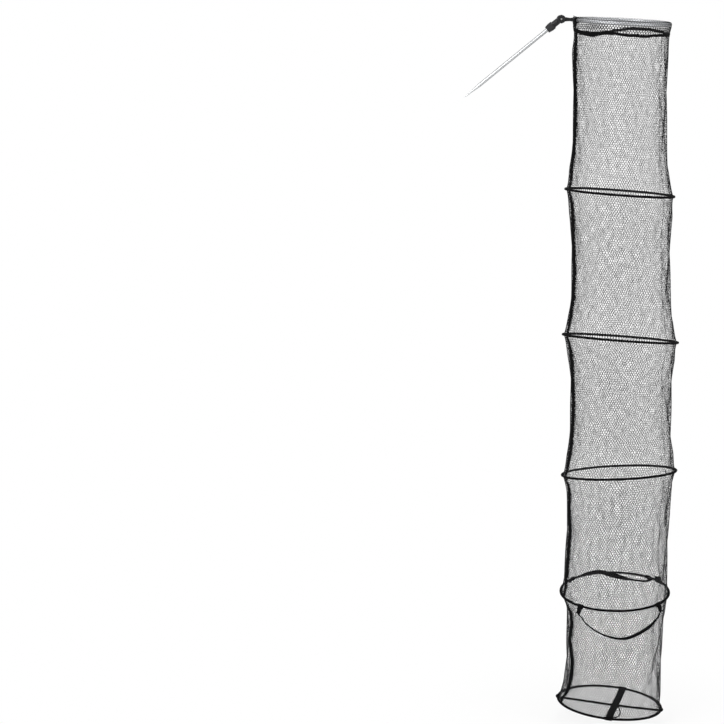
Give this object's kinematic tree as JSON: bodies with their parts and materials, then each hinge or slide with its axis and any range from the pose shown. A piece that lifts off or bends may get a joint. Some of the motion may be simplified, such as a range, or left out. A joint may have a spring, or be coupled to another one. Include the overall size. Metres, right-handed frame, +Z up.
{
  "type": "keep net",
  "caption": "Keep net: hooped black netting tube with a base, hung from a tilting rim on a pole with a ground spike.",
  "frame": {"origin": "the point of the ground spike", "axes": "+Z up, the way the net hangs; +X from the spike's point towards the net, level; the hinge's bolt lies along Y, with its knob towards -Y"},
  "size_m": [0.7607, 0.4101, 2.4954],
  "materials": {
    "pole": "satin drawn tube",
    "spike": "turned, satin",
    "rim_tube": "satin bent tube",
    "hinge_plastic": "black moulding, satin",
    "nut_plastic": "black moulding, satin",
    "knob_plastic": "black moulding, fine matt grain",
    "collet_plastic": "black moulding",
    "steel": "bright plated",
    "ring_steel": "plated wire",
    "brass_insert": "plain",
    "netting": "knitted black multifilament netting, hexagonal cells",
    "base_netting": "black netting with diamond gaps",
    "webbing": "black woven tape",
    "wrap": "black bunched netting and thread",
    "sleeve": "black tape sewn round the hoop",
    "strap": "black woven strap",
    "handle": "black tubular webbing",
    "handle_tab": "black woven tape, folded and sewn",
    "hoop_rod": "black rod"
  },
  "bodies": {
    "pole": {"pole_tube": "pole", "ground_spike": "spike"},
    "socket": {"socket_body": "hinge_plastic", "hinge_bolt": "steel"},
    "collet": {"collet_sleeve": "collet_plastic"},
    "nut": {"collet_nut": "nut_plastic"},
    "washer": {"hinge_washer": "steel"},
    "knob": {"locking_knob": "knob_plastic", "knob_insert": "brass_insert"},
    "rim": {"tee_body": "hinge_plastic", "rim_tube": "rim_tube", "rim_netting": "netting", "rim_wrap_front": "wrap", "rim_wrap_rear": "wrap", "collar_tape": "webbing"},
    "net_top": {"net_neck": "netting", "side_tape_neck": "webbing", "net_section_1": "netting", "side_tape_1": "webbing"},
    "hoop_first": {"hoop_1": "hoop_rod", "hoop_1_sleeve": "sleeve", "net_section_2": "netting", "side_tape_2": "webbing"},
    "hoop_second": {"hoop_2": "hoop_rod", "hoop_2_sleeve": "sleeve", "net_section_3": "netting", "side_tape_3": "webbing"},
    "hoop_third": {"hoop_3": "hoop_rod", "hoop_3_sleeve": "sleeve", "net_section_4": "netting", "side_tape_4": "webbing"},
    "hoop_fourth": {"hoop_4": "hoop_rod", "hoop_4_sleeve": "sleeve", "net_section_5": "netting", "side_tape_5": "webbing", "handle_front_tab_left": "handle_tab", "handle_front_tab_right": "handle_tab", "handle_rear_tab_left": "handle_tab", "handle_rear_tab_right": "handle_tab"},
    "base": {"base_hoop": "hoop_rod", "base_hoop_sleeve": "sleeve", "base_net": "base_netting", "base_strap_wide": "strap", "base_strap_narrow": "strap", "ring_tab": "strap"},
    "front_handle": {"handle_front": "handle"},
    "rear_handle": {"handle_rear": "handle"},
    "ring": {"base_ring": "ring_steel"}
  },
  "joints": [
    {"name": "pole_slide", "type": "slide", "parent": "pole", "child": "socket", "axis": [0.7749, 0, 0.632], "range_m": [0, 0.025]},
    {"name": "collet_slide", "type": "slide", "parent": "socket", "child": "collet", "axis": [-0.7749, 0, -0.632], "range_m": [0, 0.002]},
    {"name": "nut_turn", "type": "hinge", "parent": "collet", "child": "nut", "pos_m": [0.3247, 0, 0.26482], "axis": [-0.7749, 0, -0.632], "range_deg": [0, 360]},
    {"name": "washer_slide", "type": "slide", "parent": "socket", "child": "washer", "axis": [0, -1, 0], "range_m": [0, 0.0025]},
    {"name": "knob_turn", "type": "hinge", "parent": "washer", "child": "knob", "pos_m": [0.3247, 0, 0.26482], "axis": [0, -1, 0], "range_deg": [0, 720]},
    {"name": "rim_tilt", "type": "hinge", "parent": "socket", "child": "rim", "pos_m": [0.3247, 0, 0.26482], "axis": [0, 1, 0], "range_deg": [-20, 45]},
    {"name": "net_swing", "type": "hinge", "parent": "rim", "child": "net_top", "pos_m": [0.5313, -0.0163, 0.2204], "axis": [0, 1, 0], "range_deg": [-45, 20], "deforming": ["net_neck", "side_tape_neck"]},
    {"name": "hoop_1_lift", "type": "slide", "parent": "net_top", "child": "hoop_first", "axis": [0, 0, 1], "range_m": [0, 0.235], "deforming": ["net_section_1", "side_tape_1"]},
    {"name": "hoop_2_lift", "type": "slide", "parent": "hoop_first", "child": "hoop_second", "axis": [0, 0, 1], "range_m": [0, 0.455], "deforming": ["net_section_2", "side_tape_2"]},
    {"name": "hoop_3_lift", "type": "slide", "parent": "hoop_second", "child": "hoop_third", "axis": [0, 0, 1], "range_m": [0, 0.41], "deforming": ["net_section_3", "side_tape_3"]},
    {"name": "hoop_4_lift", "type": "slide", "parent": "hoop_third", "child": "hoop_fourth", "axis": [0, 0, 1], "range_m": [0, 0.355], "deforming": ["net_section_4", "side_tape_4"]},
    {"name": "base_lift", "type": "slide", "parent": "hoop_fourth", "child": "base", "axis": [0, 0, 1], "range_m": [0, 0.35], "deforming": ["net_section_5", "side_tape_5"]},
    {"name": "handle_front_swing", "type": "hinge", "parent": "hoop_fourth", "child": "front_handle", "pos_m": [0.55075, -0.15877, -1.77846], "axis": [-0.9997, 0, -0.0262], "range_deg": [0, 90]},
    {"name": "handle_rear_swing", "type": "hinge", "parent": "hoop_fourth", "child": "rear_handle", "pos_m": [0.54999, 0.12907, -1.74964], "axis": [0.9997, 0, 0.0262], "range_deg": [-70, 25]},
    {"name": "ring_swing", "type": "hinge", "parent": "base", "child": "ring", "pos_m": [0.56072, -0.02226, -2.17267], "axis": [0.9636, -0.2588, -0.0676], "range_deg": [-80, 80]}
  ],
  "couplings": [
    {"joint": "collet_slide", "follows": "nut_turn", "m_per_rad": 0.00031799},
    {"joint": "washer_slide", "follows": "knob_turn", "m_per_rad": 0.00019875},
    {"joint": "net_swing", "follows": "rim_tilt", "ratio": -1}
  ]
}
